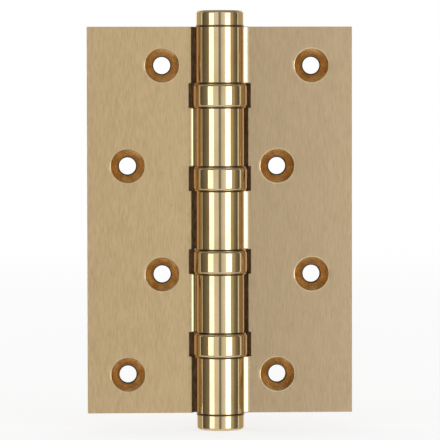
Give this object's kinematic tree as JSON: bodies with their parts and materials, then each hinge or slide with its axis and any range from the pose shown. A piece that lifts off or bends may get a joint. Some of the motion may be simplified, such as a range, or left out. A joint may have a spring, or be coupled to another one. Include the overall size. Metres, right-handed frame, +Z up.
{
  "type": "ball bearing butt hinge",
  "caption": "Solid brass butt hinge with two screw-on leaves, a steel pin and ball bearings between its knuckles, so that a door swings on its frame.",
  "frame": {"origin": "on the pin's axis, half way up the leaves, which is the centre of the bounding box", "axes": "+Z up along the pin; the leaves lie open flat across X with the frame leaf at +X and the door leaf at -X; the countersunk faces look towards -Y and the backs towards +Y"},
  "size_m": [0.07, 0.0142, 0.1104],
  "materials": {
    "leaf_brass": "brushed along the height on the leaves, polished on the knuckles",
    "polished_brass": "mirror polished",
    "cage_brass": "pressed",
    "pin_steel": "ground",
    "race_steel": "hardened and ground",
    "ball_steel": "polished"
  },
  "bodies": {
    "frame": {"frame_leaf": "leaf_brass", "hinge_pin": "pin_steel", "top_tip": "polished_brass", "bottom_tip": "polished_brass", "bearing_1_upper_race": "race_steel", "bearing_2_lower_race": "race_steel", "bearing_2_shell": "polished_brass", "bearing_3_upper_race": "race_steel", "bearing_4_lower_race": "race_steel", "bearing_4_shell": "polished_brass"},
    "door": {"door_leaf": "leaf_brass", "bearing_1_lower_race": "race_steel", "bearing_1_shell": "polished_brass", "bearing_2_upper_race": "race_steel", "bearing_3_lower_race": "race_steel", "bearing_3_shell": "polished_brass", "bearing_4_upper_race": "race_steel"},
    "rollers_1": {"bearing_1_cage": "cage_brass", "bearing_1_balls": "ball_steel"},
    "rollers_2": {"bearing_2_cage": "cage_brass", "bearing_2_balls": "ball_steel"},
    "rollers_3": {"bearing_3_cage": "cage_brass", "bearing_3_balls": "ball_steel"},
    "rollers_4": {"bearing_4_cage": "cage_brass", "bearing_4_balls": "ball_steel"}
  },
  "joints": [
    {"name": "door_swing", "type": "hinge", "parent": "frame", "child": "door", "pos_m": [0, 0, 0], "axis": [0, 0, 1], "range_deg": [-90, 180]},
    {"name": "rollers_1_orbit", "type": "hinge", "parent": "frame", "child": "rollers_1", "pos_m": [0, 0, 0], "axis": [0, 0, 1], "range_deg": [-45, 90]},
    {"name": "rollers_2_orbit", "type": "hinge", "parent": "frame", "child": "rollers_2", "pos_m": [0, 0, 0], "axis": [0, 0, 1], "range_deg": [-45, 90]},
    {"name": "rollers_3_orbit", "type": "hinge", "parent": "frame", "child": "rollers_3", "pos_m": [0, 0, 0], "axis": [0, 0, 1], "range_deg": [-45, 90]},
    {"name": "rollers_4_orbit", "type": "hinge", "parent": "frame", "child": "rollers_4", "pos_m": [0, 0, 0], "axis": [0, 0, 1], "range_deg": [-45, 90]}
  ],
  "couplings": [
    {"joint": "rollers_1_orbit", "follows": "door_swing", "ratio": 0.5},
    {"joint": "rollers_2_orbit", "follows": "door_swing", "ratio": 0.5},
    {"joint": "rollers_3_orbit", "follows": "door_swing", "ratio": 0.5},
    {"joint": "rollers_4_orbit", "follows": "door_swing", "ratio": 0.5}
  ]
}
